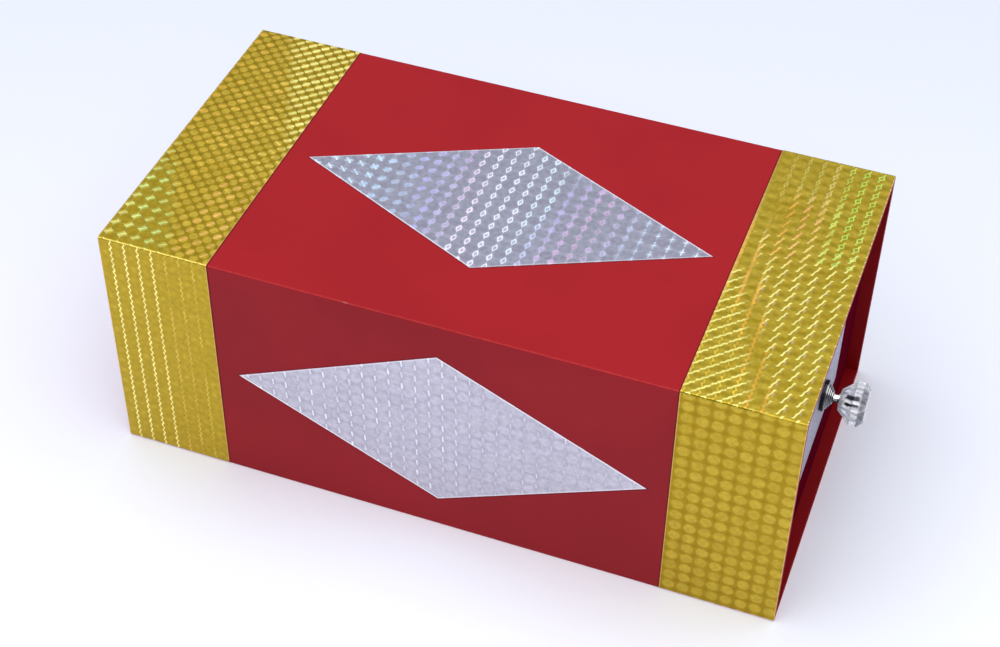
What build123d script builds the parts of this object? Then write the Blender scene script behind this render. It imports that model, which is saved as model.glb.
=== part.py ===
# A magician's drawer box: a covered board case, open at one end, with a drawer that is really two.
# The outer drawer carries the front, the knob and two sides. An open-topped tray hides inside it.
# A bar on the knob's spindle locks behind the tray's slotted front wall, so both slide out as one.
# With the knob turned a quarter, the bar lines up with the slot and the outer drawer comes out alone,
# while a magnet in the case holds the tray back by its steel disc.
#
# Frame: origin at the centre of the case's underside, +X out of the drawer's front, +Z up.
# All sizes are in millimetres.
import os
from math import acos, cos, degrees, pi, sin

from build123d import *

# case
case_length = 300.0
case_width = 159.0
case_height = 118.0
case_board = 3.0
edge_radius = 0.8

# decorative films
film_thickness = 0.2
front_band_width = 50.0
rear_band_width = 49.5
diamond_length = 181.0
diamond_width = 84.5
label_width = 76.0
label_height = 50.0

# outer drawer
drawer_recess = 5.7  # from the case's mouth back to the drawer's front face
drawer_side_clearance = 0.75
drawer_floor_clearance = 0.3
drawer_top_clearance = 1.0
front_board = 4.0
front_edge_radius = 0.6
drawer_board = 3.0
drawer_side_drop = 9.0  # from the front board's top down to the sides' top
rim_width = 6.0
rim_thickness = 3.0
front_rim_width = 10.0

# inner tray
tray_board = 2.5
tray_front_board = 3.0
tray_side_clearance = 0.5
tray_floor_clearance = 0.3
tray_rim_clearance = 0.5
tray_front_gap = 8.0  # room for the spindle's washers and nut
pocket_depth = 11.0  # between the tray's slotted front wall and its liner

# magnet latch at the back
magnet_radius = 8.0
magnet_thickness = 2.0
magnet_clearance = 0.8
disc_radius = 10.0
disc_thickness = 1.0

knob_drop = 1.6  # from the middle of the drawer's front down to the knob's axis

# knob, measured along its axis from the flange's back
flange_radius = 7.0
flange_thickness = 1.3
dome_radius = 6.5
dome_height = 3.1
dome_top_radius = 3.4
bead_radius = 0.45
neck_radius = 2.5
cup_length = 0.7
cup_radius = 3.4
knob_stem = 7.2
knob_running_clearance = 0.3
socket_depth = 3.0

# crystal, measured along its axis from its back
crystal_facets = 8
crystal_radius = 10.4  # across the girdle's corners
crystal_height = 11.7
crystal_back_radius = 4.6
girdle_height = 6.1
girdle_thickness = 3.4
table_radius = 7.2

# spindle and its hardware
spindle_radius = 2.0
spindle_chamfer = 0.4
spindle_engagement = 4.0
spindle_tip = 0.8  # past the last nut
bush_radius = 3.5
bush_clearance = 0.05
bush_flange_radius = 5.5
bush_flange_thickness = 1.0
label_hole_clearance = 0.5
hardware_clearance = 0.1
washer_radius = 4.5
washer_thickness = 0.8
spring_washer_radius = 3.8
spring_washer_thickness = 1.0
spring_washer_slit = 0.7
nut_across_flats = 7.0
nut_height = 3.2
bar_length = 30.0
bar_width = 9.0
bar_thickness = 2.0
bar_clearance = 1.0  # behind the tray's front wall
slot_end_clearance = 2.0
slot_side_clearance = 1.5

# case limits
case_rear = -case_length / 2
case_mouth = case_length / 2
half_width = case_width / 2
inner_half_width = half_width - case_board
floor_top = case_board
ceiling = case_height - case_board
back_face = case_rear + case_board

# outer drawer limits
front_outer = case_mouth - drawer_recess
front_inner = front_outer - front_board
front_bottom = floor_top + drawer_floor_clearance
front_top = ceiling - drawer_top_clearance
drawer_half_width = inner_half_width - drawer_side_clearance
drawer_inner_half = drawer_half_width - drawer_board
drawer_floor = front_bottom + drawer_board
side_top = front_top - drawer_side_drop
rim_bottom = side_top - rim_thickness

# inner tray limits
disc_rear = back_face + magnet_thickness + magnet_clearance
tray_rear = disc_rear + disc_thickness
tray_half_width = drawer_inner_half - tray_side_clearance
tray_inner_half = tray_half_width - tray_board
tray_bottom = drawer_floor + tray_floor_clearance
tray_floor = tray_bottom + tray_board
tray_top = rim_bottom - tray_rim_clearance
tray_front = front_inner - tray_front_gap
wall_inner = tray_front - tray_front_board
liner_front = wall_inner - pocket_depth
liner_rear = liner_front - tray_board

# limits along the knob's axis
axis_height = (front_bottom + front_top) / 2 - knob_drop
knob_seat = front_outer + film_thickness + knob_running_clearance
crystal_seat = knob_seat + knob_stem
bush_rear = front_inner - bush_flange_thickness
washer_rear = bush_rear - knob_running_clearance - washer_thickness
spring_rear = washer_rear - spring_washer_thickness
bar_front = wall_inner - bar_clearance
bar_rear = bar_front - bar_thickness
nut_rears = [spring_rear - nut_height, bar_front, bar_rear - nut_height]
spindle_rear = bar_rear - nut_height - spindle_tip
spindle_front = knob_seat + spindle_engagement


def board(x, y, z):
    """A rectangular board between the (low, high) limits of each axis."""
    size = [high - low for low, high in (x, y, z)]
    middle = [(high + low) / 2 for low, high in (x, y, z)]
    return Pos(*middle) * Box(*size)


def on_axis(shape, x):
    """Lays a shape that is built along +Z on the knob's axis, with its base at x."""
    return Pos(x, 0, axis_height) * Rot(0, 90, 0) * shape


def ring(outer, inner, height):
    """A flat ring built along +Z from the origin."""
    return extrude(Circle(outer) - Circle(inner), height)


# Case


def case_section(grow=0.0):
    """The case's rounded cross-section in the YZ plane, grown outwards by a film."""
    section = RectangleRounded(case_width + 2 * grow, case_height + 2 * grow, edge_radius + grow)
    return Plane.YZ * Pos(0, case_height / 2) * section


def rounded_board(z):
    """The top or bottom board, with the long outer edges of the case rounded."""
    whole_case = extrude(Pos(case_rear, 0, 0) * case_section(), case_length, dir=(1, 0, 0))
    return whole_case & board((case_rear, case_mouth), (-half_width, half_width), z)


def make_case():
    """The five boards of the case, and the magnet on its back board."""
    along = (case_rear, case_mouth)
    upright = (floor_top, ceiling)
    back = board((case_rear, back_face), (-inner_half_width, inner_half_width), upright)
    return {
        "case_top_board": rounded_board((ceiling, case_height)),
        "case_bottom_board": rounded_board((0, floor_top)),
        "case_near_side_board": board(along, (-half_width, -inner_half_width), upright),
        "case_far_side_board": board(along, (inner_half_width, half_width), upright),
        "case_back_board": back,
        "holding_magnet": on_axis(extrude(Circle(magnet_radius), magnet_thickness), back_face),
    }


# Decorative films


def band(start, width):
    """A film strip up one side of the case, over the top and down the other side."""
    wrap = extrude(Pos(start, 0, 0) * (case_section(film_thickness) - case_section()), width, dir=(1, 0, 0))
    past_film = half_width + 2 * film_thickness
    below_ends = board((start, start + width), (-past_film, past_film), (-2 * film_thickness, edge_radius))
    return wrap - below_ends


def diamond():
    """A film diamond, long along X, lying on the XY plane."""
    outline = Polygon(
        (-diamond_length / 2, 0),
        (0, -diamond_width / 2),
        (diamond_length / 2, 0),
        (0, diamond_width / 2),
        align=None,
    )
    return extrude(outline, film_thickness)


def make_films():
    """The gold bands at the case's ends and the silver diamonds between them."""
    middle = case_height / 2
    return {
        "front_gold_band": band(case_mouth - front_band_width, front_band_width),
        "rear_gold_band": band(case_rear, rear_band_width),
        "top_silver_diamond": Pos(0, 0, case_height) * diamond(),
        "near_silver_diamond": Pos(0, -half_width, middle) * Rot(90, 0, 0) * diamond(),
        "far_silver_diamond": Pos(0, half_width, middle) * Rot(-90, 0, 0) * diamond(),
    }


# Outer drawer


def drawer_front():
    """The drawer's front board, eased round its face and bored for the spindle's bush."""
    across = (-drawer_half_width, drawer_half_width)
    front = board((front_inner, front_outer), across, (front_bottom, front_top))
    front = fillet(front.faces().sort_by(Axis.X)[-1].edges(), front_edge_radius)
    return front - on_axis(extrude(Circle(bush_radius), front_board), front_inner)


def front_label():
    """The silver film on the drawer's front, with a hole for the spindle."""
    film = extrude(Rectangle(label_height, label_width), film_thickness)
    return on_axis(film - extrude(Circle(spindle_radius + label_hole_clearance), film_thickness), front_outer)


def spindle_bush():
    """The flanged bush that the spindle turns in, pushed into the front board from inside."""
    bore = spindle_radius + bush_clearance
    barrel = Pos(0, 0, bush_flange_thickness) * ring(bush_radius, bore, front_board)
    return on_axis(ring(bush_flange_radius, bore, bush_flange_thickness) + barrel, bush_rear)


def make_drawer():
    """The outer drawer: front, sides and floor, open at the back, with rims over the tray's walls."""
    along = (tray_rear, front_inner)
    upright = (front_bottom, side_top)
    rim = (rim_bottom, side_top)
    rim_inner = drawer_inner_half - rim_width
    inside = (-drawer_inner_half, drawer_inner_half)
    return {
        "drawer_front_board": drawer_front(),
        "drawer_near_side": board(along, (-drawer_half_width, -drawer_inner_half), upright),
        "drawer_far_side": board(along, (drawer_inner_half, drawer_half_width), upright),
        "drawer_floor_board": board(along, inside, (front_bottom, drawer_floor)),
        "drawer_near_rim": board(along, (-drawer_inner_half, -rim_inner), rim),
        "drawer_far_rim": board(along, (rim_inner, drawer_inner_half), rim),
        "drawer_front_rim": board((front_inner - front_rim_width, front_inner), (-rim_inner, rim_inner), rim),
        "drawer_front_label": front_label(),
        "spindle_bush": spindle_bush(),
    }


# Inner tray


def slotted_wall():
    """The tray's front wall, with a level slot that lets the lock bar through when it lies level."""
    slot = SlotOverall(bar_length + 2 * slot_end_clearance, bar_width + 2 * slot_side_clearance, rotation=90)
    wall = board((wall_inner, tray_front), (-tray_inner_half, tray_inner_half), (tray_floor, tray_top))
    return wall - on_axis(extrude(slot, tray_front_board), wall_inner)


def make_tray():
    """The hidden tray: an open box with a pocket for the lock bar behind its slotted front wall."""
    along = (tray_rear, tray_front)
    across = (-tray_inner_half, tray_inner_half)
    upright = (tray_floor, tray_top)
    return {
        "tray_floor_board": board(along, (-tray_half_width, tray_half_width), (tray_bottom, tray_floor)),
        "tray_near_wall": board(along, (-tray_half_width, -tray_inner_half), upright),
        "tray_far_wall": board(along, (tray_inner_half, tray_half_width), upright),
        "tray_back_wall": board((tray_rear, tray_rear + tray_board), across, upright),
        "tray_slotted_wall": slotted_wall(),
        "tray_front_liner": board((liner_rear, liner_front), across, upright),
        "tray_pocket_cap": board((liner_front, wall_inner), across, (tray_top - tray_board, tray_top)),
        "tray_steel_disc": on_axis(extrude(Circle(disc_radius), disc_thickness), disc_rear),
    }


# Knob


def knob_base():
    """The knob's plated casting: flange, dome, bead, neck, and the cup and peg that hold the crystal."""
    dome_angle = degrees(acos(dome_top_radius / dome_radius))
    dome = EllipticalCenterArc((0, flange_thickness), dome_radius, dome_height, arc_size=dome_angle)
    bead_foot = (neck_radius, (dome @ 1).Y)
    bead_crest = (neck_radius + bead_radius, bead_foot[1] + bead_radius)
    bead_top = (neck_radius, bead_foot[1] + 2 * bead_radius)
    foot = Polyline((0, 0), (flange_radius, 0), (flange_radius, flange_thickness), dome @ 0)
    neck = Polyline(
        bead_top,
        (neck_radius, knob_stem - cup_length),
        (cup_radius, knob_stem),
        (neck_radius, knob_stem),
        (neck_radius, knob_stem + socket_depth),
        (0, knob_stem + socket_depth),
        (0, 0),
    )
    outline = foot + dome + Line(dome @ 1, bead_foot) + ThreePointArc(bead_foot, bead_crest, bead_top) + neck
    casting = revolve(Plane.XZ * make_face(outline), Axis.Z)
    return on_axis(casting - extrude(Circle(spindle_radius), spindle_engagement), knob_seat)


def points_round(radius, height, count, turn=0.0):
    """Evenly spaced points round the axis, the first one turned by an angle in radians."""
    angles = [turn + 2 * pi * index / count for index in range(count)]
    return [(radius * cos(angle), radius * sin(angle), height) for angle in angles]


def crystal_outlines():
    """The corners of each flat facet: table, back, girdle, and triangles above and below the girdle."""
    count = crystal_facets
    turn = pi / count
    table = points_round(table_radius, crystal_height, count)
    upper_girdle = points_round(crystal_radius, girdle_height + girdle_thickness, count, turn)
    lower_girdle = points_round(crystal_radius, girdle_height, count, turn)
    back = points_round(crystal_back_radius, 0, count)
    outlines = [table, back]
    for i in range(count):
        upper_edge = [upper_girdle[i - 1], upper_girdle[i]]
        lower_edge = [lower_girdle[i - 1], lower_girdle[i]]
        outlines.append(upper_edge + lower_edge[::-1])
        outlines.append(upper_edge + [table[i]])
        outlines.append(lower_edge + [back[i]])
        outlines.append([table[i - 1], table[i], upper_girdle[i - 1]])
        outlines.append([back[i - 1], back[i], lower_girdle[i - 1]])
    return outlines


def knob_crystal():
    """The cut crystal, with a round socket in its back for the base's peg."""
    facets = [Face(Wire.make_polygon(corners)) for corners in crystal_outlines()]
    crystal = Solid(Shell(facets))
    return on_axis(crystal - extrude(Circle(neck_radius), socket_depth), crystal_seat)


def knob_spindle():
    """The plain rod from the knob's base to just past the last nut, chamfered at its inner end."""
    rod = extrude(Circle(spindle_radius), spindle_front - spindle_rear)
    rod = chamfer(rod.edges().sort_by(Axis.Z)[0], spindle_chamfer)
    return on_axis(rod, spindle_rear)


def spring_washer():
    """A split ring that keeps the spindle's nut under tension."""
    washer = ring(spring_washer_radius, spindle_radius + hardware_clearance, spring_washer_thickness)
    half_slit = spring_washer_slit / 2
    slit = board((0, spring_washer_radius), (-half_slit, half_slit), (0, spring_washer_thickness))
    return on_axis(washer - slit, spring_rear)


def hex_nut():
    """A hexagonal nut with its corners turned off at both faces, built along +Z."""
    flat_radius = nut_across_flats / 2
    corner_radius = flat_radius / cos(pi / 6)
    turned = extrude(Circle(corner_radius), nut_height)
    turned = chamfer(turned.edges(), corner_radius - flat_radius)
    hexagon = extrude(RegularPolygon(flat_radius, 6, major_radius=False), nut_height)
    return turned & hexagon - extrude(Circle(spindle_radius), nut_height)


def lock_bar():
    """The round-ended bar that stands upright behind the slotted wall and turns level to pass it."""
    bar = extrude(SlotOverall(bar_length, bar_width), bar_thickness)
    return on_axis(bar - extrude(Circle(spindle_radius + hardware_clearance), bar_thickness), bar_rear)


def make_knob():
    """The knob, its spindle and what is threaded on the spindle behind the drawer's front."""
    plain_washer = ring(washer_radius, spindle_radius + hardware_clearance, washer_thickness)
    return {
        "knob_base": knob_base(),
        "knob_crystal": knob_crystal(),
        "knob_spindle": knob_spindle(),
        "plain_washer": on_axis(plain_washer, washer_rear),
        "spring_washer": spring_washer(),
        "spindle_nuts": Compound([on_axis(hex_nut(), x).solid() for x in nut_rears]),
        "lock_bar": lock_bar(),
    }


os.makedirs("parts", exist_ok=True)
for pieces in (make_case(), make_films(), make_drawer(), make_tray(), make_knob()):
    for name, shape in pieces.items():
        export_step(shape, f"parts/{name}.step")
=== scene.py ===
import math
import bpy
from mathutils import Euler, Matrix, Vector


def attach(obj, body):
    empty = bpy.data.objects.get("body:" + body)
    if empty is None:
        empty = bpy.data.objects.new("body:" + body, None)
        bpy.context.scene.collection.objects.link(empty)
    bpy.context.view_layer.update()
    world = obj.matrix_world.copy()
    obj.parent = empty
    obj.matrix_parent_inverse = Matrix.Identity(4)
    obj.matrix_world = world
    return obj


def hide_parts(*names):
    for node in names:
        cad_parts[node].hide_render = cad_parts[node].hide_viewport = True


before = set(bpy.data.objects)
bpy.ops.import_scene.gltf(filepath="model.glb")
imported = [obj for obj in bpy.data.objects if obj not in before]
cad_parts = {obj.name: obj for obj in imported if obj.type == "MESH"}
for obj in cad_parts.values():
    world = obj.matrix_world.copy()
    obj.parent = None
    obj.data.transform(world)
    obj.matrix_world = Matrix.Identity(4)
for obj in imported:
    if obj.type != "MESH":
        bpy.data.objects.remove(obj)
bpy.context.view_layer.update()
print("frame loaded:", len(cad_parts), "nodes")

mm = 0.001

# camera and light

cameraPlan = {
    "place": (0.2100, -0.5954, 0.6462),
    "turn": (46.62, -0.74, 20.26),  # degrees
    "lens": 70.19,
    "sensor": 36.0,
}
lightPlan = {
    "skyLow": (0.13, 0.14, 0.18),  # at the horizon
    "skyHigh": (0.98, 1.03, 1.18),  # overhead
    "skyRise": (0.05, 0.75),  # how high the change between them starts and ends
    "skyPower": 0.75,
    "softbox": {
        "place": (0.0, -0.55, 1.85),
        "aim": (0, 0, 0.05),
        "size": 2.8,
        "power": 27.0,
        "colour": (1.0, 0.99, 1.0),
    },
}


def makeCamera(plan):
    camera = bpy.data.cameras.new("camera")
    camera.lens = plan["lens"]
    camera.sensor_width = plan["sensor"]
    holder = bpy.data.objects.new("camera", camera)
    holder.location = plan["place"]
    holder.rotation_euler = Euler([math.radians(angle) for angle in plan["turn"]], "XYZ")
    bpy.context.collection.objects.link(holder)
    bpy.context.scene.camera = holder


def makeLights(plan):
    facts = plan["softbox"]
    lamp = bpy.data.lights.new("softbox", "AREA")
    lamp.shape = "SQUARE"
    lamp.size = facts["size"]
    lamp.energy = facts["power"]
    lamp.color = facts["colour"]
    holder = bpy.data.objects.new("softbox", lamp)
    holder.location = facts["place"]
    toBox = Vector(facts["aim"]) - Vector(facts["place"])
    holder.rotation_euler = toBox.to_track_quat("-Z", "Y").to_euler()
    bpy.context.collection.objects.link(holder)
    world = bpy.data.worlds.new("studio")
    bpy.context.scene.world = world
    world.use_nodes = True
    tree = world.node_tree
    sky = tree.nodes["Background"]
    direction = tree.nodes.new("ShaderNodeTexCoord").outputs["Generated"]
    height = tree.nodes.new("ShaderNodeSeparateXYZ")
    tree.links.new(direction, height.inputs[0])
    shade = smoothStep(tree, height.outputs["Z"], *plan["skyRise"])
    tree.links.new(blendColour(tree, shade, plan["skyLow"], plan["skyHigh"]), sky.inputs["Color"])
    sky.inputs["Strength"].default_value = plan["skyPower"]


# small helpers for materials


def feed(tree, source, socket):
    if isinstance(source, bpy.types.NodeSocket):
        tree.links.new(source, socket)
    elif isinstance(source, tuple) and len(source) == 3 and len(socket.default_value) == 4:
        socket.default_value = (*source, 1)
    else:
        socket.default_value = source


def inMetres(sizes):
    return [size * mm for size in sizes]


def mathStep(tree, operation, *values):
    step = tree.nodes.new("ShaderNodeMath")
    step.operation = operation
    for socket, value in zip(step.inputs, values):
        feed(tree, value, socket)
    return step.outputs[0]


def times(tree, first, second):
    return mathStep(tree, "MULTIPLY", first, second)


def timesPlus(tree, first, second, third):
    return mathStep(tree, "MULTIPLY_ADD", first, second, third)


def minus(tree, first, second):
    return mathStep(tree, "SUBTRACT", first, second)


def vectorStep(tree, operation, first, second=None):
    step = tree.nodes.new("ShaderNodeVectorMath")
    step.operation = operation
    feed(tree, first, step.inputs[0])
    if second is not None:
        feed(tree, second, step.inputs["Scale"] if operation == "SCALE" else step.inputs[1])
    return step.outputs["Value" if operation == "LENGTH" else "Vector"]


def smoothStep(tree, value, low, high, outLow=0.0, outHigh=1.0):
    step = tree.nodes.new("ShaderNodeMapRange")
    step.interpolation_type = "SMOOTHSTEP"
    for name, source in (("Value", value), ("From Min", low), ("From Max", high)):
        feed(tree, source, step.inputs[name])
    step.inputs["To Min"].default_value = outLow
    step.inputs["To Max"].default_value = outHigh
    return step.outputs["Result"]


def blendColour(tree, amount, first, second, way="MIX"):
    step = tree.nodes.new("ShaderNodeMix")
    step.data_type = "RGBA"
    step.blend_type = way
    feed(tree, amount, step.inputs[0])
    feed(tree, first, step.inputs[6])
    feed(tree, second, step.inputs[7])
    return step.outputs[2]


def lay(tree, colour, mask, amount, tint):
    # a tint over a colour, where the mask is
    return blendColour(tree, times(tree, mask, amount), colour, tint)


def splitPlace(tree, place):
    step = tree.nodes.new("ShaderNodeSeparateXYZ")
    tree.links.new(place, step.inputs[0])
    return step.outputs["X"], step.outputs["Y"], step.outputs["Z"]


def joinPlace(tree, x, y, z=0.0):
    step = tree.nodes.new("ShaderNodeCombineXYZ")
    for socket, value in zip(step.inputs, (x, y, z)):
        feed(tree, value, socket)
    return step.outputs[0]


def noise(tree, place, scale, detail=2.0, rough=0.5):
    step = tree.nodes.new("ShaderNodeTexNoise")
    feed(tree, scale, step.inputs["Scale"])
    step.inputs["Detail"].default_value = detail
    step.inputs["Roughness"].default_value = rough
    tree.links.new(place, step.inputs["Vector"])
    return step.outputs["Fac"]


def allTrue(tree, tests):
    # 1 where every test holds, each a value, an operation and a limit in mm
    mask = 1.0
    for value, operation, limit in tests:
        mask = times(tree, mathStep(tree, operation, value, limit * mm), mask)
    return mask


def bump(tree, height, strength, distance):
    step = tree.nodes.new("ShaderNodeBump")
    step.inputs["Strength"].default_value = strength
    step.inputs["Distance"].default_value = distance
    tree.links.new(height, step.inputs["Height"])
    return step.outputs["Normal"]


def coat(tree, shader, colour, height, plan):
    # "rough" is the height's low and high, then the roughness there; "bump" is a strength and a depth in m
    feed(tree, colour, shader["Base Color"])
    shader["Specular IOR Level"].default_value = plan["specular"]
    feed(tree, smoothStep(tree, height, *plan["rough"]), shader["Roughness"])
    feed(tree, bump(tree, height, *plan["bump"]), shader["Normal"])


def makeGroup(name, inputs, outputs):
    kinds = {"value": "NodeSocketFloat", "place": "NodeSocketVector", "colour": "NodeSocketColor"}
    group = bpy.data.node_groups.new(name, "ShaderNodeTree")
    for kind, labels in inputs.items():
        for label in labels:
            group.interface.new_socket(name=label, in_out="INPUT", socket_type=kinds[kind])
    for kind, labels in outputs.items():
        for label in labels:
            group.interface.new_socket(name=label, in_out="OUTPUT", socket_type=kinds[kind])
    start = group.nodes.new("NodeGroupInput")
    end = group.nodes.new("NodeGroupOutput")
    return group, start.outputs, end.inputs


def useGroup(tree, group, **values):
    node = tree.nodes.new("ShaderNodeGroup")
    node.node_tree = group
    for label, value in values.items():
        feed(tree, value, node.inputs[label])
    return node.outputs


def newMaterial(name):
    material = bpy.data.materials.new(name)
    material.use_nodes = True
    tree = material.node_tree
    shader = tree.nodes["Principled BSDF"]
    objectPlace = tree.nodes.new("ShaderNodeTexCoord").outputs["Object"]
    return material, tree, shader.inputs, objectPlace


def paint(material, *names):
    for name in names:
        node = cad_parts[name]
        node.data.materials.clear()
        node.data.materials.append(material)


# effects that several materials share

lattice = {"pitch": 6.25 * mm, "topLine": 118.2 * mm}
axisHeight = 57.05 * mm  # the knob's axis


def bandGroup():
    # 1 on a line at the middle value, fading out at the half width
    core = 0.4  # the share of the half width that doesn't fade
    group, given, result = makeGroup("band", {"value": ["Value", "Middle", "Half Width"]}, {"value": ["Mask"]})
    away = mathStep(group, "ABSOLUTE", minus(group, given["Value"], given["Middle"]))
    inner = times(group, given["Half Width"], core)
    group.links.new(smoothStep(group, away, given["Half Width"], inner), result["Mask"])
    return group


def diamondGroup():
    # 1 at a diamond's middle, 0 on its edges and less outside
    inputs = {"place": ["Place"], "value": ["Half Length", "Half Height", "Middle"]}
    group, given, result = makeGroup("diamond", inputs, {"value": ["Depth"]})
    u, v = splitPlace(group, given["Place"])[:2]
    alongPart = mathStep(group, "DIVIDE", mathStep(group, "ABSOLUTE", u), given["Half Length"])
    upPart = minus(group, mathStep(group, "ABSOLUTE", v), given["Middle"])
    upPart = mathStep(group, "DIVIDE", mathStep(group, "ABSOLUTE", upPart), given["Half Height"])
    depth = minus(group, 1.0, mathStep(group, "ADD", alongPart, upPart))
    group.links.new(depth, result["Depth"])
    return group


def roundAxisGroup():
    # distance along the knob's axis, distance from it, and angle round it in turns
    group, given, result = makeGroup("roundAxis", {"place": ["Place"]}, {"value": ["Along", "Reach", "Angle"]})
    x, y, z = splitPlace(group, given["Place"])
    up = minus(group, z, axisHeight)
    group.links.new(x, result["Along"])
    group.links.new(vectorStep(group, "LENGTH", joinPlace(group, 0.0, y, up)), result["Reach"])
    angle = mathStep(group, "DIVIDE", mathStep(group, "ARCTAN2", up, y), math.tau)
    group.links.new(angle, result["Angle"])
    return group


def grainGroup():
    # fine grain, and broad soft clouds
    inputs = {"place": ["Place"], "value": ["Grain", "Cloud"]}
    group, given, result = makeGroup("grain", inputs, {"value": ["Fine", "Cloudy"]})
    group.links.new(noise(group, given["Place"], given["Grain"], detail=3.0, rough=0.6), result["Fine"])
    cloud = noise(group, given["Place"], given["Cloud"], detail=3.0)
    group.links.new(smoothStep(group, cloud, 0.35, 0.68), result["Cloudy"])
    return group


def smearGroup():
    # handled metal: smears, and the marks where they are strongest
    group, given, result = makeGroup("smear", {"place": ["Place"], "value": ["Scale"]}, {"value": ["Smear", "Marks"]})
    smear = noise(group, given["Place"], given["Scale"], detail=4.0, rough=0.6)
    group.links.new(smear, result["Smear"])
    group.links.new(smoothStep(group, smear, 0.45, 0.8), result["Marks"])
    return group


sharedGroups = {
    "band": bandGroup(),
    "diamond": diamondGroup(),
    "roundAxis": roundAxisGroup(),
    "grain": grainGroup(),
    "smear": smearGroup(),
}


def lineMask(tree, value, middle, halfWidth):
    facts = {"Value": value, "Middle": middle * mm, "Half Width": halfWidth * mm}
    return useGroup(tree, sharedGroups["band"], **facts)["Mask"]


def diamondDepth(tree, place, facts):
    sizes = dict(zip(("Half Length", "Half Height", "Middle"), inMetres(facts)))
    return useGroup(tree, sharedGroups["diamond"], Place=place, **sizes)["Depth"]


# prismatic film: every mark repeats in a square lattice; the bright strokes are painted glints

filmFacts = {  # lengths in mm
    "grain": 420,
    "cloud": 60,
    "mottle": (0.86, 1.1),
    "glow": 0.22,  # of the bright strokes, a painted glow of the painted glints
    "metallic": 0.8,
    "specular": 0.1,
    "rough": (0.2, 0.8, 0.36, 0.5),
    "bump": (0.12, 0.0003),
    "side": 79.7,  # the film's outer face on a side of the case
    "crease": {"line": 79.6, "halfWidth": 0.42, "waves": 2100.0, "waveHeight": 0.1, "dash": (0.46, 0.4), "fade": 8,
               "amount": 0.85},
    # painted highlight along the bands' cut edges
    "cut": {"halfWidth": 0.45, "tint": (0.95, 0.62, 0.24)},
    # painted highlight along the diamonds' cut edges
    "rim": {"depth": (0.020, 0.009), "dim": 0.5, "more": 0.45, "tint": (1.0, 0.95, 1.0)},
}


def wrapRoundGroup():
    # distance along the case, and distance up one side, over the top and down the other
    group, given, result = makeGroup("wrapRound", {"place": ["Place"]}, {"place": ["Place"]})
    x, y, z = splitPlace(group, given["Place"])
    drop = minus(group, lattice["topLine"], z)
    drop = times(group, drop, mathStep(group, "SIGN", y))
    group.links.new(joinPlace(group, x, mathStep(group, "ADD", y, drop)), result["Place"])
    return group


def cellPlace(tree, place, shift):
    # place within a lattice cell, from -0.5 to 0.5 each way
    cells = vectorStep(tree, "SCALE", place, 1 / lattice["pitch"])
    cells = vectorStep(tree, "ADD", cells, shift)
    return vectorStep(tree, "SUBTRACT", vectorStep(tree, "FRACTION", cells), (0.5, 0.5, 0.5))


def strokeGroup():
    # a painted glint in each cell, a bright stroke: single, double, or a small loop with a tail at each end
    core, length, waves, bulge = 0.25, 0.88, 12.6, 5.0  # the first two don't fade
    values = ["Turn", "Reach", "Width", "Split", "Loop", "Knob", "Wave"]
    group, given, result = makeGroup("stroke", {"place": ["Place", "Shift"], "value": values}, {"value": ["Mask"]})
    turned = group.nodes.new("ShaderNodeVectorRotate")
    turned.rotation_type = "Z_AXIS"
    group.links.new(cellPlace(group, given["Place"], given["Shift"]), turned.inputs["Vector"])
    group.links.new(times(group, given["Turn"], -1.0), turned.inputs["Angle"])
    x, y = splitPlace(group, turned.outputs[0])[:2]
    along = mathStep(group, "ABSOLUTE", x)
    ripple = mathStep(group, "SINE", times(group, x, waves))
    across = mathStep(group, "ABSOLUTE", timesPlus(group, ripple, given["Wave"], y))
    inLoop = mathStep(group, "DIVIDE", along, given["Loop"])
    apart = mathStep(group, "MAXIMUM", minus(group, 1.0, inLoop), 0.0)
    across = minus(group, across, times(group, apart, given["Split"]))
    across = mathStep(group, "ABSOLUTE", across)
    nearEnd = mathStep(group, "POWER", mathStep(group, "DIVIDE", along, given["Reach"]), bulge)
    wide = timesPlus(group, nearEnd, given["Knob"], 1.0)
    wide = times(group, wide, given["Width"])
    inLine = smoothStep(group, across, wide, times(group, wide, core))
    inReach = smoothStep(group, along, given["Reach"], times(group, given["Reach"], length))
    group.links.new(times(group, inLine, inReach), result["Mask"])
    return group


def discGroup():
    # a soft round spot in each cell
    inputs = {"place": ["Place", "Shift"], "value": ["Radius", "Soft"]}
    group, given, result = makeGroup("disc", inputs, {"value": ["Mask"]})
    x, y = splitPlace(group, cellPlace(group, given["Place"], given["Shift"]))[:2]
    reach = vectorStep(group, "LENGTH", joinPlace(group, x, y))
    inner = minus(group, given["Radius"], given["Soft"])
    group.links.new(smoothStep(group, reach, given["Radius"], inner), result["Mask"])
    return group


def zoneGroup():
    # where on the film a mark shows, and how far across that zone a point is
    inputs = {"place": ["Place"], "value": ["Lean", "Low", "High", "Near", "Far", "Fade"]}
    group, given, result = makeGroup("zone", inputs, {"value": ["Mask", "Across"]})
    u, v = splitPlace(group, given["Place"])[:2]
    leaning = timesPlus(group, v, given["Lean"], u)
    mask = 1.0
    for value, low, high in ((leaning, given["Low"], given["High"]), (v, given["Near"], given["Far"])):
        rise = smoothStep(group, value, minus(group, low, given["Fade"]), low)
        fall = smoothStep(group, value, mathStep(group, "ADD", high, given["Fade"]), high)
        mask = times(group, mask, times(group, rise, fall))
    group.links.new(mask, result["Mask"])
    span = minus(group, given["High"], given["Low"])
    across = mathStep(group, "DIVIDE", minus(group, leaning, given["Low"]), span)
    group.links.new(across, result["Across"])
    return group


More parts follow.
